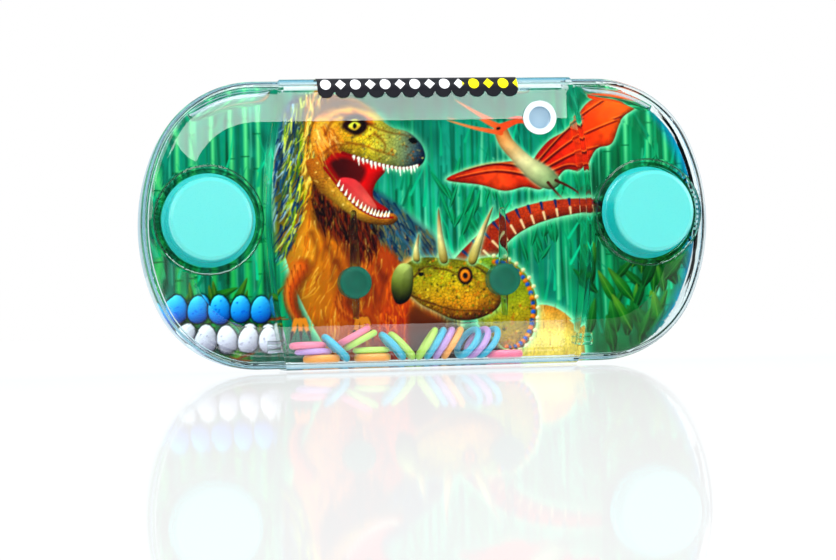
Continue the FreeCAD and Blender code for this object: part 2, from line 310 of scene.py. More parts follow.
pegLook = {"bossHeight": 20.8}
gaps = {"small": 0.012, "plate": 0.006}
plugLook = {"middleRadius": 2.9}
shellFaces()
for side in ("left", "right"):
    mesh = dress(side + "_divider", wetFace, weldFace)
    for f in mesh.polygons:
        f.material_index = 1 if abs(f.normal.y) > 0.9 or abs(f.normal.z) > 0.8 else 0
    dress(side + "_jet", wetFace)
    dress(side + "_collar", trimFace)
    dress(side + "_clamp_ring", softClear)
    dress(side + "_button", buttonPlastic)
    dress(side + "_bellows", softClear)
    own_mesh(nodes[side + "_bellows"])
    mesh = dress(side + "_peg", pegPlastic, spikePlastic)
    pegLow, pegHigh = [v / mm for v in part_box(side + "_peg")]
    bossR = (pegHigh.x - pegLow.x) / 2
    bossX, bossZ = (pegLow.x + pegHigh.x) / 2, pegLook["bossHeight"]
    for f in mesh.polygons:
        c = f.center / mm
        f.material_index = int(math.hypot(c.x - bossX, c.z - bossZ) > bossR + 0.1)
    for piece in ("_divider", "_jet", "_collar", "_clamp_ring", "_bellows", "_peg"):
        easeApart(side + piece, gaps["small"])
for plate in ("tank_back", "rear_cover", "printed_card"):
    easeApart(plate, gaps["plate"])
plugMesh, plugAt = dress("filler_plug", plugPlastic, plugMiddle), buttonCentre("filler_plug")
for f in plugMesh.polygons:
    if math.hypot(f.center.x / mm - plugAt.x, f.center.z / mm - plugAt.z) < plugLook["middleRadius"]:
        f.material_index = 1
dress("top_sticker", labelFilm)
dress("printed_card", cardBoard)
for colour, rgb in ringColours.items():
    dress(colour + "_rings", plainPlastic("ring" + colour.title(), rgb, 0.35, 0.2, 0.3))
print("case dressed")

# the picture on the card: painted point by point on a fine flat sheet, own design
art = {"step": 0.2, "seed": 11, "panels": 4, "saturation": 1.12, "contrast": 1.2, "middle": 0.54,
       "haloWidth": 0.62, "lift": 0.03, "blueFrom": 42.6, "blueRim": (0.03, 0.52, 0.76)}
paint = {}


def startPaper():
    paint["x"] = np.arange(cardLow.x, cardHigh.x + art["step"], art["step"])
    paint["z"] = np.arange(cardLow.z, cardHigh.z + art["step"], art["step"])
    paint["rgb"] = np.zeros((len(paint["z"]), len(paint["x"]), 3))
    paint["rng"] = np.random.default_rng(art["seed"])


def curve(points, closed=True, per=6):
    # a smooth line through given points
    p = np.array(points, float)
    n = len(p)
    spans = n if closed else n - 1
    t = np.linspace(0, 1, per, endpoint=False)[:, None]
    out = []
    for i in range(spans):
        if closed:
            a, b, c, d = p[i - 1], p[i], p[(i + 1) % n], p[(i + 2) % n]
        else:
            a, b, c, d = p[max(i - 1, 0)], p[i], p[i + 1], p[min(i + 2, n - 1)]
        out.append(b + 0.5 * t * (c - a + t * (2 * a - 5 * b + 4 * c - d + t * (3 * (b - c) + d - a))))
    if not closed:
        out.append(p[-1:])
    return np.concatenate(out)


def patch(points, margin):
    # the part of the paper round some points
    xs, zs = paint["x"], paint["z"]
    i0, i1 = np.searchsorted(xs, [points[:, 0].min() - margin, points[:, 0].max() + margin])
    j0, j1 = np.searchsorted(zs, [points[:, 1].min() - margin, points[:, 1].max() + margin])
    return slice(j0, j1), slice(i0, i1), *np.meshgrid(xs[i0:i1], zs[j0:j1])


def lineDistance(line, x, z):
    # distance to a line, and how far along it the nearest point is
    best, along = np.full(x.shape, 1e9), np.zeros(x.shape)
    n = len(line) - 1
    for k in range(n):
        a, d = line[k], line[k + 1] - line[k]
        t = np.clip(((x - a[0]) * d[0] + (z - a[1]) * d[1]) / (d @ d + 1e-12), 0, 1)
        r = np.hypot(x - a[0] - t * d[0], z - a[1] - t * d[1])
        near = r < best
        best = np.where(near, r, best)
        along = np.where(near, (k + t) / n, along)
    return best, along


def signedDistance(outline, x, z):
    # negative inside a closed outline
    ring = np.vstack([outline, outline[:1]])
    dist, _ = lineDistance(ring, x, z)
    inside = np.zeros(x.shape, bool)
    for a, b in zip(ring[:-1], ring[1:]):
        crosses = (a[1] > z) != (b[1] > z)
        with np.errstate(divide="ignore", invalid="ignore"):
            inside ^= crosses & (x < (b[0] - a[0]) * (z - a[1]) / (b[1] - a[1]) + a[0])
    return np.where(inside, -dist, dist)


def grain(x, z, size, seed=0):
    # soft random mottling between 0 and 1
    total, weight = 0, 0
    for octave in range(3):
        s = size / 2 ** octave
        u, v = x / s, z / s
        i, j = np.floor(u).astype(int), np.floor(v).astype(int)
        f, g = u - i, v - j
        f, g = f * f * (3 - 2 * f), g * g * (3 - 2 * g)

        def corner(a, b):
            h = np.sin((i + a) * 127.1 + (j + b) * 311.7 + seed * 17.3 + octave * 5.1) * 43758.5453
            return h - np.floor(h)

        value = ((corner(0, 0) * (1 - f) + corner(1, 0) * f) * (1 - g)
                 + (corner(0, 1) * (1 - f) + corner(1, 1) * f) * g)
        total, weight = total + value / 2 ** octave, weight + 1 / 2 ** octave
    return total / weight


def scaleCells(x, z, size, seed=3):
    # how close a point is to the border between two scales, 0 at the border
    u, v = x / size, z / size
    i, j = np.floor(u), np.floor(v)
    first, second = np.full(x.shape, 9.0), np.full(x.shape, 9.0)
    for a in (-1, 0, 1):
        for b in (-1, 0, 1):
            h = np.sin((i + a) * 127.1 + (j + b) * 311.7 + seed) * 43758.5453
            k = np.sin((i + a) * 269.5 + (j + b) * 183.3 + seed) * 43758.5453
            d = np.hypot(i + a + h - np.floor(h) - u, j + b + k - np.floor(k) - v)
            second = np.minimum(second, np.maximum(first, d))
            first = np.minimum(first, d)
    return second - first


def layDown(rows, cols, colour, cover):
    old = paint["rgb"][rows, cols]
    paint["rgb"][rows, cols] = old + (colour - old) * np.clip(cover, 0, 1)[..., None]


def fillShape(outline, colours, towards=(0, -1), soft=0.25, rim=0.0, rimWidth=1.5, mottle=0.12,
              grainSize=2.0, light=0.25, scales=0.0, cover=1.0):
    # a shape whose colours run along a direction, darker at its rim, lit from the upper left
    outline = np.asarray(outline, float)
    rows, cols, x, z = patch(outline, 1.0)
    if x.size == 0:
        return
    d = signedDistance(outline, x, z)
    way = np.array(towards, float) / np.hypot(*towards)
    run = outline @ way
    t = np.clip((x * way[0] + z * way[1] - run.min()) / (np.ptp(run) + 1e-9), 0, 1)
    stops = np.linspace(0, 1, len(colours))
    colour = np.stack([np.interp(t, stops, [c[k] for c in colours]) for k in range(3)], -1)
    depth = np.exp(np.minimum(d, 0) / rimWidth)  # 1 at the edge, 0 well inside
    gz, gx = np.gradient(d, art["step"])
    lit = 1 + light * depth * (gz * 0.75 - gx * 0.45) - rim * depth
    lit = lit * (1 + mottle * (grain(x, z, grainSize) - 0.5) * 2)
    if scales:
        lit = lit * (1 - scales * np.exp(-scaleCells(x, z, 0.85) / 0.12) * (0.4 + 0.6 * grain(x, z, 5.0,
                                                                                              9)))
    layDown(rows, cols, np.clip(colour * lit[..., None], 0, 1), (0.5 - d / soft) * cover)


def halo(outline, colour, width, strength):
    # a pale glow round a shape
    outline = np.asarray(outline, float)
    rows, cols, x, z = patch(outline, width * 2)
    width = width * art["haloWidth"]
    d = np.maximum(signedDistance(outline, x, z), 0)
    layDown(rows, cols, np.broadcast_to(np.array(colour), x.shape + (3,)),
            strength * np.exp(-(d / width) ** 1.5))


def stroke(points, start, end, colour, cover=1.0, soft=0.2, tipColour=None):
    # a brush stroke that tapers from one width to another
    line = np.asarray(points, float)
    rows, cols, x, z = patch(line, max(start, end) + 0.6)
    if x.size == 0:
        return
    d, t = lineDistance(line, x, z)
    width = start + (end - start) * t
    ink = np.array(colour) + (np.array(tipColour if tipColour else colour) - np.array(colour)) * t[...,
                                                                                                   None]
    layDown(rows, cols, ink, cover * (0.5 + (width / 2 - d) / soft))


def oval(x, z, wide, tall, step=0.7):
    return [(x + wide * math.cos(a), z + tall * math.sin(a)) for a in np.arange(0, 6.28, step)]


def hair(count, where, flow, length, width, colours, cover=0.7):
    # loose strokes scattered inside an outline, combed along a flow
    rng = paint["rng"]
    outline = np.asarray(where, float)
    low, high = outline.min(0), outline.max(0)
    made = 0
    while made < count:
        p = low + rng.random(2) * (high - low)
        if signedDistance(outline, p[:1], p[1:])[0] > -0.2:
            continue
        angle = math.radians(flow(p[0], p[1]) + rng.normal(0, 9))
        run = length * rng.uniform(0.6, 1.3)
        bend = rng.normal(0, 0.15)
        mid = p + 0.5 * run * np.array([math.cos(angle), math.sin(angle)])
        tip = p + run * np.array([math.cos(angle + bend), math.sin(angle + bend)])
        stroke([p, mid, tip], width, width * 0.3, colours[rng.integers(len(colours))],
               cover * rng.uniform(0.5, 1), 0.25)
        made += 1


def speckle(count, where, size, colours, cover=0.7):
    # little spots scattered inside an outline
    rng = paint["rng"]
    outline = np.asarray(where, float)
    spots = outline.min(0) + rng.random((count, 2)) * np.ptp(outline, axis=0)
    for p in spots[signedDistance(outline, spots[:, 0], spots[:, 1]) < -size]:
        tip = p + rng.normal(0, 0.5, 2) * size
        stroke([p, tip], size * rng.uniform(0.5, 1.3), size * 0.4, colours[rng.integers(len(colours))],
               cover * rng.uniform(0.4, 1), 0.3)


def leaf(x, z, angle, length, width, dark, pale):
    # a pointed leaf with a midrib
    c, s = math.cos(math.radians(angle)), math.sin(math.radians(angle))
    shape = [(0, 0), (0.3, 0.5), (0.65, 0.38), (1, 0), (0.65, -0.38), (0.3, -0.5)]
    pts = [(x + length * a * c - width * b * s, z + length * a * s + width * b * c) for a, b in shape]
    fillShape(curve(pts, per=4), [dark, pale], (c, s), rim=0.25, rimWidth=0.6, light=0.3, mottle=0.1)
    stroke([(x, z), (x + length * 0.9 * c, z + length * 0.9 * s)], 0.3, 0.1, pale, 0.7)


def paintJungle():
    rng = paint["rng"]
    x, z = np.meshgrid(paint["x"], paint["z"])
    deep, mid, bright = np.array((0.01, 0.33, 0.27)), np.array((0.09, 0.54, 0.45)), np.array((0.5, 0.86,
                                                                                              0.74))
    low = np.clip((20 - z) / 25, 0, 1)[..., None]
    glow = np.exp(-(((x - 8) / 34) ** 2 + ((z - 38) / 22) ** 2))[..., None]
    rgb = mid + (deep - mid) * low + (bright - mid) * 0.34 * glow
    rgb -= np.clip((x - 34) / 10, 0, 1)[..., None] * (0.06, 0.05, 0.12)
    paint["rgb"][:] = rgb * (0.62 + 0.55 * grain(x, z, 7.0))[..., None]
    for _ in range(520):  # stalks, pale and dark
        sx, top = rng.uniform(-68, 68), rng.uniform(35, 72)
        foot, lean = rng.uniform(0, 40), rng.normal(0, 1.0)
        tone = rng.random()
        colour = (0.0, 0.24, 0.17) if tone < 0.5 else (0.06, 0.6, 0.36) if tone < 0.85 else (0.62, 0.9,
                                                                                              0.72)
        stroke([(sx, foot), (sx + lean, top)], rng.uniform(0.3, 1.1), rng.uniform(0.2, 0.6), colour,
               rng.uniform(0.2, 0.5), 0.5)
    for sx in (-64.5, -60, -56.5, -52, -47.5, -44, -41, 46, 50.5, 56, 60, 63.5):  # jointed canes
        colour = (0.14, 0.62, 0.3) if sx < 0 else (0.05, 0.55, 0.36)
        stroke([(sx, 8), (sx + 0.6, 68)], 1.7, 1.2, colour, 0.55, 0.5, (0.5, 0.85, 0.6))
        for joint in np.arange(14 + (sx * 7) % 6, 66, 8.5):
            stroke([(sx - 0.7, joint), (sx + 1.2, joint)], 0.35, 0.3, (0.02, 0.3, 0.18), 0.6)
    for _ in range(150):  # long leaning blades
        sx, sz = rng.uniform(-66, 66), rng.uniform(8, 58)
        a = math.radians(rng.uniform(55, 125))
        run = rng.uniform(6, 16)
        tone = rng.uniform(0.2, 1)
        stroke([(sx, sz), (sx + run * 0.5 * math.cos(a), sz + run * 0.5 * math.sin(a)),
                (sx + run * math.cos(a * 1.08), sz + run * math.sin(a * 1.08))], 0.9, 0.1,
               (0.05 * tone, 0.25 + 0.5 * tone, 0.18 + 0.38 * tone), 0.55)
    for _ in range(46):  # broad leaves low on the right
        u = rng.random()
        leaf(rng.uniform(40, 66), rng.uniform(2, 20) + 4 * u, rng.uniform(40, 140), rng.uniform(6, 11),
             rng.uniform(1.8, 3.2), (0.0, 0.24 + 0.12 * u, 0.12), (0.14 + 0.32 * u, 0.46 + 0.16 * u, 0.24))
    for _ in range(44):  # and in the left end
        u = rng.random()
        leaf(rng.uniform(-66, -38), rng.uniform(1, 17), rng.uniform(20, 160), rng.uniform(5, 10),
             rng.uniform(1.2, 2.4), (0.02, 0.24 + 0.16 * u, 0.08), (0.2 + 0.3 * u, 0.52, 0.2))
    for _ in range(60):
        leaf(rng.uniform(6, 44), rng.uniform(24, 44), rng.uniform(50, 130), rng.uniform(4, 9),
             rng.uniform(0.8, 1.8), (0.02, 0.42, 0.28), (0.12, 0.66, 0.45))


def paintEdge():
    # the print runs out in a blue rim along the right end
    x, z = np.meshgrid(paint["x"], paint["z"])
    middleX = shellHigh.x + caseShape["endStep"] - caseShape["endRadius"]
    share = np.clip((np.hypot(x - middleX, z - midZ) - art["blueFrom"]) / 3.0, 0, 1) * (x > 40) * 0.8
    paint["rgb"] += share[..., None] * (np.array(art["blueRim"]) - paint["rgb"])


mint = (0.66, 0.93, 0.74)


def paintTail():
    spine = curve([(6, 19), (13, 27), (20, 33.5), (28, 37), (38, 38.6), (47, 38.2), (54, 36.5)],
                  closed=False)
    way = np.gradient(spine, axis=0)
    normal = np.stack([-way[:, 1], way[:, 0]], 1) / np.hypot(*way.T)[:, None]
    half = np.linspace(4.2, 0.7, len(spine))[:, None]
    band = np.vstack([spine + normal * half, (spine - normal * half)[::-1]])
    halo(band, mint, 1.8, 0.8)
    fillShape(band, [(0.55, 0.16, 0.1), (0.8, 0.3, 0.16), (0.62, 0.22, 0.18)], (1, 0), rim=0.3, scales=0.4)
    speckle(260, band, 0.45, [(0.35, 0.08, 0.06), (0.92, 0.44, 0.22), (0.16, 0.14, 0.26)])
    for k in range(3, len(spine) - 2, 2):  # pale bars across the belly side
        inner, outer = spine[k] - normal[k] * half[k] * 0.1, spine[k] - normal[k] * half[k] * 0.85
        stroke([inner, outer], 0.7, 0.5, (0.95, 0.78, 0.6), 0.8)
        stroke([spine[k] + normal[k] * half[k] * 0.9, spine[k] + normal[k] * half[k] * 0.2], 0.9, 0.4,
               (0.12, 0.2, 0.36), 0.8)


def paintHunter():
    # a big two-legged meat-eater, seen from its left, mouth open
    body = curve([(-27, 67), (-21, 66), (-17, 58), (-19, 48), (-12, 40.5), (-4, 36), (3, 30), (8, 22),
                  (8, 12), (5, 0), (-19, 0), (-27, 9), (-33, 22), (-36.5, 38), (-36, 54)])
    halo(body, mint, 2.2, 0.9)
    fillShape(body, [(0.88, 0.67, 0.28), (0.8, 0.5, 0.14), (0.68, 0.31, 0.09), (0.54, 0.2, 0.08),
                     (0.22, 0.13, 0.12)], (1, -0.12), rim=0.3, rimWidth=3, light=0.35)
    back = curve([(-17, 45), (-10, 42), (-3, 36.5), (4, 30), (8, 22), (1, 24), (-4, 22), (-8, 28),
                  (-14, 34)])
    fillShape(back, [(0.12, 0.2, 0.33), (0.2, 0.34, 0.38), (0.3, 0.24, 0.2)], (1, -1), rim=0.1,
              soft=1.6, cover=0.9)
    shade = curve([(-28, 46), (-22, 40), (-14, 37.5), (-11, 32), (-16, 26), (-21, 31), (-27, 36)])
    fillShape(shade, [(0.1, 0.05, 0.07), (0.22, 0.08, 0.06)], (1, -1), soft=2.6, cover=0.95)
    hair(1000, body, lambda x, z: -78 + x * 0.9 + 14 * math.sin(z * 0.2), 3.6, 0.36,
         [(0.98, 0.8, 0.34), (0.92, 0.56, 0.14), (0.55, 0.2, 0.06), (0.8, 0.34, 0.08),
          (1.0, 0.88, 0.52)], 0.5)
    hair(220, back, lambda x, z: -60, 3.6, 0.5, [(0.08, 0.14, 0.26), (0.22, 0.38, 0.5),
                                                 (0.42, 0.42, 0.28)], 0.75)
    hair(130, shade, lambda x, z: -75, 4.0, 0.5, [(0.12, 0.05, 0.05), (0.5, 0.2, 0.08)], 0.7)
    for k in range(16):
        p = np.array((-28 + k * 2.0, 33 - k * 1.35 + 3 * math.sin(k * 1.7)))
        stroke(curve([p, p + (1.2, -4), p + (0.4, -8)], False), 1.5, 0.2, (0.28, 0.1, 0.05), 0.45, 1.2)
    thigh = curve([(-9, 22), (-3, 27), (3, 22), (4, 12), (0, 0), (-12, 0), (-12, 12)])
    fillShape(thigh, [(0.8, 0.42, 0.12), (0.66, 0.22, 0.07), (0.46, 0.14, 0.06)], (0.4, -1), rim=0.25,
              rimWidth=2.5, soft=1.2, light=0.35)
    hair(260, thigh, lambda x, z: -85, 3.2, 0.4, [(0.98, 0.6, 0.2), (0.55, 0.16, 0.05),
                                                  (0.9, 0.4, 0.1)], 0.6)
    mane = curve([(-36.5, 28), (-31, 33), (-28, 42), (-27, 50), (-25, 58), (-22, 66), (-30, 66.5),
                  (-35, 60), (-37, 46)])
    fillShape(mane, [(0.1, 0.2, 0.34), (0.4, 0.38, 0.14), (0.66, 0.4, 0.12)], (1, -0.35), soft=1.5,
              cover=0.85)
    for reach, tones in ((-33.0, [(0.05, 0.13, 0.32), (0.14, 0.34, 0.48), (0.62, 0.74, 0.8),
                                  (0.08, 0.2, 0.36)]),
                         (-29.0, [(0.62, 0.72, 0.12), (0.34, 0.46, 0.1), (0.86, 0.86, 0.34),
                                  (0.12, 0.26, 0.36)]),
                         (-24.0, [(0.9, 0.66, 0.22), (0.66, 0.36, 0.1), (0.98, 0.84, 0.44),
                                  (0.34, 0.18, 0.08)])):
        strip = np.array([p for p in mane if reach - 6 < p[0] < reach + 3.5])
        if len(strip) > 3:
            hair(170, strip, lambda x, z: -112 + (z - 40) * 0.6, 3.4, 0.5, tones, 0.9)
    for route in ([(-31, 25), (-33.6, 20), (-33.4, 15.5), (-31.4, 11.5)],
                  [(-20, 19), (-21.2, 16), (-19.4, 13.2), (-16.2, 11.4)]):
        arm = curve(route, False)
        stroke(arm + (0.9, -0.2), 4.0, 2.0, (0.22, 0.08, 0.05), 0.6, 1.8)
        stroke(arm, 3.8, 1.7, (0.8, 0.38, 0.12), 0.9, 1.6, (0.66, 0.24, 0.09))
        stroke(arm - (0.6, -0.2), 1.1, 0.5, (0.95, 0.66, 0.3), 0.5, 1.0)
        for p in arm[::2]:
            for k in (-1.4, 0.0, 1.5):
                stroke([p + (k, 0.4), p + (k + 0.3, -1.6)], 0.35, 0.1, (0.5, 0.2, 0.06), 0.6)
        x1, z1 = arm[-1]
        for k in (-1.6, 0.1, 1.7):
            stroke([(x1 + k * 0.6, z1 + 0.5), (x1 + k * 1.2, z1 - 2.0)], 1.3, 0.9, (0.84, 0.54, 0.2), 1)
            stroke([(x1 + k * 1.2, z1 - 1.8), (x1 + k * 1.6, z1 - 4.4)], 0.9, 0.1, (0.16, 0.09, 0.09), 1)
    paintHunterHead()


def paintHunterHead():
    lower = curve([(-29, 50.5), (-25.5, 51), (-22, 46.5), (-18, 41.4), (-12.5, 38), (-8, 37.6), (-6.8, 36),
                   (-9.5, 34.7), (-16, 36), (-22, 40.2), (-27.2, 45.4)])
    inside = curve([(-26.5, 51), (-21, 52.6), (-15, 50.6), (-9.5, 48.6), (-12, 45), (-12.6, 41.4),
                    (-9, 38.4), (-13, 38), (-18, 41.5), (-22, 46)])
    skull = curve([(-25, 50.5), (-27.6, 55), (-26.6, 60.2), (-22.6, 64), (-17, 65.2), (-12.4, 62.4),
                   (-8, 58.8),
                   (-3.6, 57.4), (-0.6, 54.6), (0.4, 51.2), (-1.4, 48.9), (-6, 48.3), (-12, 49.8),
                   (-17.5, 52.0), (-21.5, 53.2)])
    halo(skull[len(skull) // 3:-len(skull) // 5], mint, 1.6, 0.5)
    fillShape(inside, [(0.62, 0.03, 0.05), (0.9, 0.12, 0.12), (0.72, 0.05, 0.06)], (1, -1), rim=0.35,
              mottle=0.08)
    throat = curve([(-23, 50), (-19, 51.3), (-14.5, 48.6), (-16, 45), (-19.5, 44.8)])
    fillShape(throat, [(0.2, 0.01, 0.03), (0.4, 0.02, 0.05)], (1, -1), soft=1.2)
    tongue = curve([(-21, 46), (-17, 46), (-13.5, 42), (-11.8, 38.8), (-14, 38.4), (-18, 41)])
    fillShape(tongue, [(0.8, 0.22, 0.25), (0.97, 0.48, 0.42)], (1, -1), rim=0.2, light=0.4)
    fillShape(lower, [(0.72, 0.4, 0.14), (0.95, 0.74, 0.3), (0.8, 0.48, 0.18)], (1, -0.6), rim=0.35,
              light=0.4, scales=0.35)
    speckle(160, lower, 0.5, [(0.42, 0.2, 0.07), (1.0, 0.86, 0.5), (0.7, 0.36, 0.1)])
    stroke(curve([(-24.5, 49), (-20.5, 43.6), (-16.5, 39.2), (-12, 36.8), (-8, 36.6)], False), 0.7, 0.5,
           (0.55, 0.04, 0.06))
    fillShape(skull, [(0.86, 0.5, 0.16), (0.97, 0.72, 0.22), (0.96, 0.84, 0.26), (0.62, 0.66, 0.42),
                      (0.16, 0.26, 0.45)],
              (1, -0.15), rim=0.3, rimWidth=2.0, light=0.4, scales=0.45, mottle=0.16)
    speckle(420, skull, 0.55, [(0.4, 0.2, 0.08), (1.0, 0.88, 0.42), (0.86, 0.44, 0.1),
                               (0.3, 0.34, 0.3)], 0.6)
    crown = curve([(-27, 61), (-23, 65), (-17.5, 65.8), (-11.5, 62), (-17.5, 62.8), (-22, 62.4)])
    fillShape(crown, [(0.32, 0.22, 0.14), (0.62, 0.4, 0.16)], (1, 0), soft=1.6, cover=0.7)
    cheek = curve([(-26, 51), (-27, 56), (-25, 60), (-21, 58), (-21, 54), (-23, 52)])
    fillShape(cheek, [(0.98, 0.78, 0.4), (0.86, 0.44, 0.14)], (1, -1), soft=2.5, cover=0.7)
    hair(90, cheek, lambda x, z: -70, 2.6, 0.35, [(1.0, 0.9, 0.6), (0.6, 0.24, 0.08),
                                                  (0.96, 0.62, 0.2)], 0.6)
    brow = curve([(-21, 62), (-17, 62.6), (-12, 59.6), (-15, 59.4), (-19, 60.6)])
    fillShape(brow, [(0.98, 0.66, 0.22), (0.8, 0.36, 0.1)], (0, -1), soft=0.8, rim=0.2, light=0.5)
    for line in ([(-17, 62), (-13.5, 59.5), (-9, 57.6), (-4, 56.6)],
                 [(-24, 57), (-22.5, 60), (-20, 61), (-18.4, 60.4)],
                 [(-19, 55), (-15, 54.4), (-11, 52.8), (-7, 51.6)],
                 [(-24.5, 52.6), (-22, 54.4), (-19, 54.6)], [(-12, 57.2), (-9.5, 54.6), (-9.8, 52.6)]):
        stroke(curve(line, False), 0.75, 0.25, (0.42, 0.2, 0.08), 0.55, 0.5)
    fillShape(curve([(-20, 59), (-17.8, 61.2), (-14.6, 60.8), (-13.8, 58.4), (-16.6, 56.8)]),
              [(0.16, 0.07, 0.05)], soft=0.9)
    fillShape(curve([(-18.4, 59), (-16.9, 60.1), (-15.3, 59.3), (-16.7, 58)]), [(0.98, 0.82, 0.3)],
              soft=0.3)
    fillShape(curve([(-17.3, 59.1), (-16.8, 59.8), (-16.3, 59.1), (-16.9, 58.4)]), [(0.03, 0.02, 0.02)],
              soft=0.2)
    fillShape(curve([(-3.6, 55.6), (-2.2, 56), (-1.4, 55), (-2.6, 54.6)]), [(0.05, 0.05, 0.08)], soft=0.3)
    gum = curve([(-20, 52.6), (-15, 50.9), (-10, 49.4), (-5, 48.6), (-1.2, 49.3)], False, 5)
    stroke(gum, 0.7, 0.6, (0.5, 0.05, 0.07), 0.9)
    for k in range(3, len(gum) - 1):
        size = 1.3 + 0.6 * math.sin(k * 1.9)
        stroke([gum[k], gum[k] + (0.15, -size)], 0.75, 0.1, (0.99, 0.97, 0.88), 1, 0.15)
    gum = curve([(-21.8, 45.4), (-18.6, 41.4), (-15, 38.6), (-11.8, 37.2), (-8.6, 37)], False, 4)
    for k in range(1, len(gum) - 1):
        stroke([gum[k], gum[k] + (0.5, 1.3)], 0.65, 0.1, (0.99, 0.97, 0.88), 1, 0.15)


def paintFlyer():
    # a flying reptile with skin wings
    far = curve([(5.5, 45.6), (12, 48.4), (19, 49.6), (26, 50), (31, 47.5), (29.5, 43), (25, 43.5),
                 (20, 42.6), (14, 44.2)])
    near = curve([(27, 48.5), (31, 54.5), (37, 58), (42, 63.8), (49, 66.2), (57, 68.6), (54.5, 63),
                  (50, 59.5), (47.5, 54), (43.5, 52.6), (40, 47.4), (35.5, 47.6), (32, 44.8)])
    trunk = curve([(17.8, 58.6), (20.5, 58.8), (22.6, 55), (27, 50.8), (32, 47.6), (34, 44.4),
                   (31.4, 42.8), (27.4, 44.6), (22.8, 49.4), (19, 54)])
    for wing in (far, near):
        halo(wing, mint, 1.1, 0.75)
    for wing, colours in ((far, [(0.8, 0.2, 0.12), (0.93, 0.33, 0.16), (0.7, 0.14, 0.1)]),
                          (near, [(0.72, 0.12, 0.08), (0.93, 0.3, 0.12), (0.98, 0.55, 0.22)])):
        fillShape(wing, colours, (1, 0.5), rim=0.45, rimWidth=0.8, light=0.2, mottle=0.2, grainSize=1.4)
    for fan in ([(28, 49), (37, 58), (49, 66)], [(29, 48.5), (38, 55), (50, 60)],
                [(30, 47.6), (38, 51.5), (44, 53)],
                [(31, 46.6), (36, 48.5), (40, 48)], [(27, 46), (18, 47.4), (8, 45.8)],
                [(27, 48), (18, 49.2), (10, 47.6)]):
        stroke(curve(fan, False), 0.8, 0.3, (0.32, 0.07, 0.06), 0.75, 0.3)
        stroke(curve(np.array(fan) + (0, 0.5), False), 0.35, 0.2, (1.0, 0.66, 0.36), 0.5, 0.3)
    halo(trunk, mint, 0.8, 0.5)
    fillShape(trunk, [(0.9, 0.5, 0.24), (0.93, 0.86, 0.66), (0.48, 0.6, 0.42)], (1, -1), rim=0.35,
              rimWidth=0.9, light=0.4)
    for points, w in (([(19.6, 58), (14, 61), (8.2, 64.6)], 1.9),
                      ([(19.4, 57), (13, 58.2), (6.2, 60.2)], 1.4)):
        stroke(curve(points, False), w, 0.15, (0.86, 0.36, 0.2), 1, 0.2, (0.94, 0.62, 0.38))
    stroke(curve([(20, 58.4), (24, 59.8), (28, 58.6)], False), 2.0, 0.2, (0.88, 0.34, 0.2), 1, 0.2)
    stroke([(18.7, 58.0), (19.1, 58.1)], 0.7, 0.6, (0.04, 0.03, 0.03))
    for points in ([(31, 44.5), (33.5, 41.5), (37, 38)], [(33, 45), (37, 43), (41.6, 39.4)]):
        stroke(curve(points, False), 0.8, 0.3, (0.3, 0.12, 0.1))
        for side in (-0.8, 0.2, 1.1):
            stroke([points[-1], (points[-1][0] + side, points[-1][1] - 1.3)], 0.35, 0.1, (0.22, 0.1, 0.08))


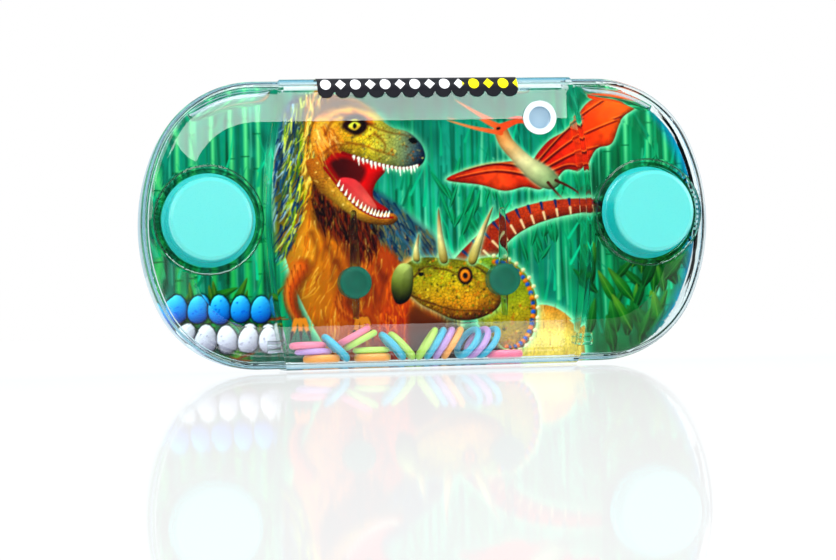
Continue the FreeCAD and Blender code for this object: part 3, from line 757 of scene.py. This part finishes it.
def paintHorned():
    # a horned plant-eater with a neck frill, seen from its left
    rump = curve([(17, 0), (18, 9), (24, 13.6), (31, 14), (37, 9.5), (39.5, 3), (39, 0)])
    halo(rump, mint, 1.8, 0.85)
    fillShape(rump, [(0.86, 0.56, 0.22), (0.96, 0.86, 0.46), (0.9, 0.76, 0.36)], (0, -1), rim=0.3,
              light=0.4, scales=0.3)
    hair(90, rump, lambda x, z: 60 + x, 1.8, 0.3, [(0.45, 0.24, 0.1), (0.98, 0.9, 0.6)], 0.55)
    frill = curve([(11, 24), (16, 26.4), (21.5, 25), (26, 20), (27.4, 12.5), (25, 6), (20.5, 3.6),
                   (16.5, 7), (12, 12)])
    halo(frill, mint, 1.6, 0.8)
    fillShape(frill, [(0.5, 0.62, 0.16), (0.66, 0.68, 0.16), (0.74, 0.52, 0.16)], (0.4, -1), rim=0.25,
              light=0.3, scales=0.45)
    for k in range(len(frill) // 7, len(frill) * 5 // 7):  # spots and studs on its border
        c = frill[k] * 0.9 + np.array((17.5, 14.5)) * 0.1
        tone = ((0.16, 0.34, 0.66), (0.92, 0.46, 0.12))[k % 2]
        fillShape(oval(*c, 0.62, 0.62), [tone], soft=0.4)
        if k % 2:
            c = frill[k] * 1.02 - np.array((17.5, 14.5)) * 0.02
            fillShape(oval(*c, 0.55, 0.55), [(0.95, 0.86, 0.66)], soft=0.3)
    neck = curve([(-4, 15), (2, 12), (10, 9), (17, 6), (17, 0), (-2, 0), (-5, 8)])
    fillShape(neck, [(0.4, 0.2, 0.08), (0.12, 0.07, 0.07)], (0.3, -1), soft=1.4, cover=0.92)
    head = curve([(-6.4, 21), (-5, 25), (-1, 26.6), (4, 26.4), (9, 25.8), (14, 24.4), (18.4, 20.5),
                  (18, 14.5), (13, 11.5), (7, 11.2), (1.5, 13.6), (-2.6, 16)])
    halo(head, mint, 1.4, 0.5)
    fillShape(head, [(0.36, 0.36, 0.12), (0.72, 0.66, 0.16), (0.88, 0.62, 0.16), (0.62, 0.34, 0.1)],
              (0.15, -1), rim=0.35, rimWidth=1.6, light=0.45, scales=0.5, mottle=0.2)
    speckle(420, head, 0.55, [(0.16, 0.13, 0.05), (0.96, 0.84, 0.3), (0.3, 0.42, 0.1), (0.8, 0.42, 0.1)])
    speckle(160, frill, 0.6, [(0.2, 0.24, 0.06), (0.9, 0.76, 0.24), (0.7, 0.36, 0.1)])
    beak = curve([(-8.4, 22.6), (-6.4, 25.2), (-3.6, 24.4), (-3.4, 20), (-4.6, 16.4), (-7.4, 15.4),
                  (-8.8, 18.6)])
    fillShape(beak, [(0.8, 0.84, 0.52), (0.46, 0.5, 0.24), (0.12, 0.12, 0.08)], (-0.5, -1), rim=0.4,
              light=0.5)
    for line in ([(-4, 17.4), (1, 15.4), (7, 13.6), (13, 13.4)], [(2, 24), (6, 23.2), (9, 20.6)],
                 [(11, 25), (15, 22), (16.4, 17)], [(-3, 22), (-1, 24), (2, 24.6)]):
        stroke(curve(line, False), 0.6, 0.2, (0.26, 0.14, 0.05), 0.7, 0.4)
    for tone, r in (((0.16, 0.1, 0.04), 1.9), ((0.9, 0.5, 0.14), 1.3), ((0.03, 0.02, 0.02), 0.6)):
        fillShape(oval(9.6, 22, r, r * 1.2, 0.5), [tone], soft=0.4)
    fillShape(oval(-1.4, 22.6, 0.7, 0.5), [(0.06, 0.04, 0.03)], soft=0.3)
    for foot, tip, w in (((-2.4, 26), (-1.6, 32.5), 1.6), ((4.4, 25.8), (3.4, 38.6), 2.0),
                         ((11.4, 25.5), (17, 38.8), 2.1)):
        foot, tip = np.array(foot), np.array(tip)
        side = np.array((tip - foot)[::-1]) * (1, -1) / np.hypot(*(tip - foot))
        horn = curve([foot - side * w * 0.5, (foot + tip) / 2 - side * w * 0.33 - (0.3, 0), tip,
                      (foot + tip) / 2 + side * w * 0.33 - (0.3, 0), foot + side * w * 0.5])
        halo(horn, mint, 0.8, 0.6)
        fillShape(horn, [(0.62, 0.52, 0.24), (0.95, 0.9, 0.66), (0.6, 0.42, 0.26)], tip - foot, rim=0.35,
                  rimWidth=0.5, light=0.5)


def paintNest():
    # a nest of blue and white eggs, in place of lettering
    rng = paint["rng"]
    for _ in range(70):
        a = rng.uniform(0, 6.28)
        c = np.array((-51 + 12.5 * math.cos(a), 9.5 + 6.2 * math.sin(a)))
        stroke([c, c + rng.normal(0, 1, 2) * (3.4, 1.2)], 0.5, 0.2,
               (0.3 + 0.3 * rng.random(), 0.24, 0.1), 0.9)
    for row, z, count, pale, deep in ((0, 15.4, 5, (0.35, 0.8, 0.98), (0.02, 0.36, 0.72)),
                                      (1, 8.6, 5, (0.98, 0.98, 1.0), (0.6, 0.58, 0.66))):
        for k in range(count):
            c = np.array((-60.4 + k * 4.9 + row * 1.8, z - k * 0.25))
            tilt = 0.3 * math.sin(k * 2.2 + row)
            egg = [(c[0] + 2.5 * math.cos(a) + tilt * math.sin(a),
                    c[1] + (3.3 + 0.5 * math.sin(a)) * math.sin(a))
                   for a in np.arange(0, 6.28, 0.4)]
            halo(egg, (0.02, 0.04, 0.08), 0.5, 1.0)
            fillShape(egg, [pale, deep], (0.4, -1), rim=0.15, rimWidth=1.0, light=0.35, mottle=0.05)
            for _ in range(7):
                p = c + rng.normal(0, 0.95, 2)
                stroke([p, p + (0.15, 0.1)], rng.uniform(0.25, 0.6), 0.2, deep, 0.7)


def inkMaterial():
    mat, nds, lks = newMaterial("cardInk")
    out, bsdf, ink = addNodes(nds, "OutputMaterial", "BsdfPrincipled", "VertexColor")
    ink.layer_name = "ink"
    setInputs(bsdf, {"Roughness": 0.6, "Specular IOR Level": 0.0})
    lks.new(ink.outputs["Color"], bsdf.inputs["Base Color"])
    lks.new(bsdf.outputs[0], out.inputs[0])
    return mat


def makePrint():
    # the painted sheet, cut to the card's outline, just inside the clear plate in front of the card
    startPaper()
    for step in (paintJungle, paintEdge, paintFlyer, paintTail, paintHunter, paintHorned, paintNest):
        step()
    grey = paint["rgb"].mean(-1, keepdims=True)
    rgb = grey + (paint["rgb"] - grey) * art["saturation"]
    rgb = np.clip(art["middle"] + (rgb - art["middle"]) * art["contrast"], 0, 1)
    linear = np.where(rgb <= 0.04045, rgb / 12.92, ((rgb + 0.055) / 1.055) ** 2.4)
    ink, width = inkMaterial(), len(paint["x"])
    cuts = np.linspace(0, width - 1, art["panels"] + 1).astype(int)
    for k in range(art["panels"]):
        cols = slice(cuts[k], cuts[k + 1] + 1)
        x, z = np.meshgrid(paint["x"][cols], paint["z"])
        keep = cardInside(x, z)
        number = np.full(x.shape, -1)
        number[keep] = np.arange(keep.sum())
        verts = np.stack([x[keep], np.full(keep.sum(), partingY - art["lift"]), z[keep]], 1) * mm
        quads = np.stack([number[:-1, :-1], number[:-1, 1:], number[1:, 1:], number[1:, :-1]], -1)
        quads = quads[(quads >= 0).all(-1)]
        mesh = bpy.data.meshes.new("cardPrint")
        mesh.from_pydata(verts.tolist(), [], quads.tolist())
        tint = mesh.color_attributes.new("ink", "FLOAT_COLOR", "POINT")
        flat = np.concatenate([linear[:, cols][keep], np.ones((keep.sum(), 1))], 1)
        tint.data.foreach_set("color", flat.ravel())
        mesh.materials.append(ink)
        sheet = bpy.data.objects.new("card_print_" + str(k + 1), mesh)
        bpy.context.scene.collection.objects.link(sheet)
        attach(sheet, "case")
    print("card printed")


def cardInside(x, z):
    # inside the card's own outline: the case's outline, moved in
    halfH = (cardHigh.z - cardLow.z) / 2
    grow = (shellHigh.z - shellLow.z) / 2 - halfH
    endR, cornerR = caseShape["endRadius"] - grow, caseShape["cornerRadius"] - grow
    endX = cardHigh.x - endR
    cornerX, cornerZ = cornerCentre(endX, endR, cornerR, halfH)
    ax, az = np.abs(x), np.abs(z - midZ)
    flatPart = (ax <= cornerX) & (az <= halfH)
    lean = math.atan2(cornerZ, cornerX - endX)
    endPart = (np.hypot(ax - endX, az) <= endR) & (np.arctan2(az, ax - endX) <= lean)
    cornerPart = (np.hypot(ax - cornerX, az - cornerZ) <= cornerR) & (np.arctan2(az, ax - endX) > lean)
    return flatPart | endPart | cornerPart


makePrint()

# air left in the tank: pockets under the roof of the three chambers
airPockets = {"left": (-57.5, -37.5, 2.1), "right": (38.5, 56.5, 1.7), "plug": (21.5, 26.0, 0.9)}
pocketLook = {"frontWall": 2.0, "halfDepth": 4.3, "below": 2.2, "around": 28, "along": 36,
              "flattened": 0.75}


def roofAt(x, inset):
    # underside of the case's roof
    endR, cornerR = caseShape["endRadius"], caseShape["cornerRadius"]
    halfH = (shellHigh.z - shellLow.z) / 2
    cornerX, cornerZ = cornerCentre(shellHigh.x + caseShape["endStep"] - endR, endR, cornerR, halfH)
    past = max(abs(x) - cornerX, 0)
    return midZ + cornerZ + math.sqrt(max((cornerR - inset) ** 2 - past ** 2, 1)) - caseShape["endStep"]


def makePockets():
    waterMid = (frontY + pocketLook["frontWall"] + backLow.y) / 2
    for name, (start, end, tall) in airPockets.items():
        mesh = bmesh.new()
        rings, around, along = [], pocketLook["around"], pocketLook["along"]
        for i in range(along + 1):
            t = i / along
            swell = math.sqrt(max(1 - (2 * t - 1) ** 4, 0.0))
            x = start + (end - start) * t
            deep, high = pocketLook["halfDepth"] * swell + 0.01, tall * swell + 0.005
            top = roofAt(x, pocketLook["below"])
            ring = []
            for k in range(around):
                a = 2 * math.pi * k / around
                flat = pocketLook["flattened"] if math.sin(a) > 0 else 1.0  # where it lies on the roof
                ring.append(mesh.verts.new(Vector((x, waterMid + deep * math.cos(a),
                                                   top - high + high * flat * math.sin(a))) * mm))
            rings.append(ring)
        for a, b in zip(rings[:-1], rings[1:]):
            for k in range(around):
                mesh.faces.new((a[k], b[k], b[(k + 1) % around], a[(k + 1) % around]))
        mesh.faces.new(rings[0])
        mesh.faces.new(list(reversed(rings[-1])))
        bmesh.ops.recalc_face_normals(mesh, faces=mesh.faces)
        data = bpy.data.meshes.new(name + "AirPocket")
        mesh.to_mesh(data)
        mesh.free()
        for f in data.polygons:
            f.use_smooth = True
        data.materials.append(bubbleFace)
        pocket = bpy.data.objects.new(name + "_air_pocket", data)
        bpy.context.scene.collection.objects.link(pocket)
        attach(pocket, "case")
    print("air pockets made")


makePockets()

# camera, floor and light
view = {"lens": 103.2, "cameraAt": (-97.0, -576.0, 9.0), "aimDrop": 13.8, "aimSide": -1.96, "roll": 1.5}


def makeCamera():
    data = bpy.data.cameras.new("camera")
    cam = bpy.data.objects.new("camera", data)
    bpy.context.scene.collection.objects.link(cam)
    data.lens, data.sensor_width = view["lens"], 36
    data.clip_start, data.clip_end = 0.02, 20
    at = Vector(view["cameraAt"]) * mm
    centre = Vector((0, (frontY + rearY) / 2, midZ)) * mm
    ahead = (centre - at).normalized()
    right = ahead.cross(Vector((0, 0, 1))).normalized()
    up = right.cross(ahead)
    aim = centre + right * view["aimSide"] * mm - up * view["aimDrop"] * mm
    ahead = (aim - at).normalized()
    right = ahead.cross(Vector((0, 0, 1))).normalized()
    up = right.cross(ahead)
    r = math.radians(view["roll"])
    up2 = up * math.cos(r) + right * math.sin(r)
    right2 = ahead.cross(up2)
    cam.matrix_world = Matrix((right2, up2, -ahead)).transposed().to_4x4()
    cam.location = at
    bpy.context.scene.camera = cam


floorLook = {"size": 24, "glow": 1.06, "matte": 0.9, "matteShare": 0.06, "roughness": 0.03,
             "glossFrom": -0.48, "glossTo": 0.32, "glossStops": ((0.0, 0.19), (0.575, 0.35), (1.0, 0.0))}
studio = {"front": (0.1, 0.14, 0.17, 1), "frontTo": 0.14, "back": (0.8, 0.87, 0.91, 1), "backFrom": 0.46}
lamps = {  # place, aim, size and power
    "topBox": ((-0.05, -0.12, 0.55), (0, 0, 0.035), (0.5, 0.3), 2.3),
    "leftBox": ((-0.55, -0.35, 0.3), (0, 0, 0.035), (0.35, 0.45), 1.6),
    "rightBox": ((0.5, -0.3, 0.22), (0, 0, 0.035), (0.25, 0.35), 1.2),
    "frontBox": ((0.0, -0.66, 0.245), (0, -0.01, 0.05), (0.38, 0.17), 1.7)}


def areaLight(name, at, aim, size, power):
    data = bpy.data.lights.new(name, "AREA")
    data.shape, data.size, data.size_y = "RECTANGLE", size[0], size[1]
    data.energy = power
    lamp = bpy.data.objects.new(name, data)
    bpy.context.scene.collection.objects.link(lamp)
    lamp.location = at
    lamp.visible_camera = False
    lamp.rotation_mode = "QUATERNION"
    lamp.rotation_quaternion = (Vector(aim) - Vector(at)).to_track_quat("-Z", "Y")


def makeFloor():
    bpy.ops.mesh.primitive_plane_add(size=floorLook["size"], location=(0, 0, -0.0002))
    floor = bpy.context.object
    floor.name = "floor"
    mat, nds, lks = newMaterial("floorGloss")
    out = nds.new("ShaderNodeOutputMaterial")
    glow, matte, gloss = addNodes(nds, "Emission", "BsdfDiffuse", "BsdfGlossy")
    setInputs(glow, {"Color": (1, 1, 1, 1), "Strength": floorLook["glow"]})
    matte.inputs["Color"].default_value = (*[floorLook["matte"]] * 3, 1)
    setInputs(gloss, {"Color": (1, 1, 1, 1), "Roughness": floorLook["roughness"]})
    pale = mixShaders(nds, lks, floorLook["matteShare"], glow.outputs[0], matte.outputs[0])
    span, ramp = addNodes(nds, "MapRange", "ValToRGB")
    lks.new(axesOf(nds, lks)["Y"], span.inputs["Value"])
    setInputs(span, {"From Min": floorLook["glossFrom"], "From Max": floorLook["glossTo"]})
    lks.new(span.outputs[0], ramp.inputs[0])
    stops = floorLook["glossStops"]  # most gloss just in front of the case, none far behind
    ramp.color_ramp.elements.new(stops[1][0])
    for stop, (_, share) in zip(ramp.color_ramp.elements, stops):
        stop.color = (share, share, share, 1)
    lks.new(mixShaders(nds, lks, ramp.outputs[0], pale, gloss.outputs[0]), out.inputs[0])
    floor.data.materials.append(mat)


def makeWorld():
    # white behind the case, darker round the camera so that the clear faces show
    world = bpy.data.worlds.new("studio")
    bpy.context.scene.world = world
    world.use_nodes = True
    nds, lks = world.node_tree.nodes, world.node_tree.links
    nds.clear()
    out, seen, lit = addNodes(nds, "OutputWorld", "Background", "Background")
    path, ramp = addNodes(nds, "LightPath", "ValToRGB")
    seen.inputs["Color"].default_value = (1, 1, 1, 1)
    half = nds.new("ShaderNodeMapRange")  # from straight in front to straight behind
    half.inputs["From Min"].default_value = -1
    lks.new(axesOf(nds, lks, "Generated")["Y"], half.inputs["Value"])
    lks.new(half.outputs[0], ramp.inputs[0])
    first, last = ramp.color_ramp.elements
    first.position, first.color = studio["frontTo"], studio["front"]
    last.position, last.color = studio["backFrom"], studio["back"]
    lks.new(ramp.outputs[0], lit.inputs["Color"])
    lks.new(mixShaders(nds, lks, path.outputs["Is Camera Ray"], lit.outputs[0], seen.outputs[0]),
            out.inputs[0])


makeCamera()
makeFloor()
makeWorld()
for lampName, lampValues in lamps.items():
    areaLight(lampName, *lampValues)
bpy.context.scene.view_settings.view_transform = "Standard"
print("stage ready")
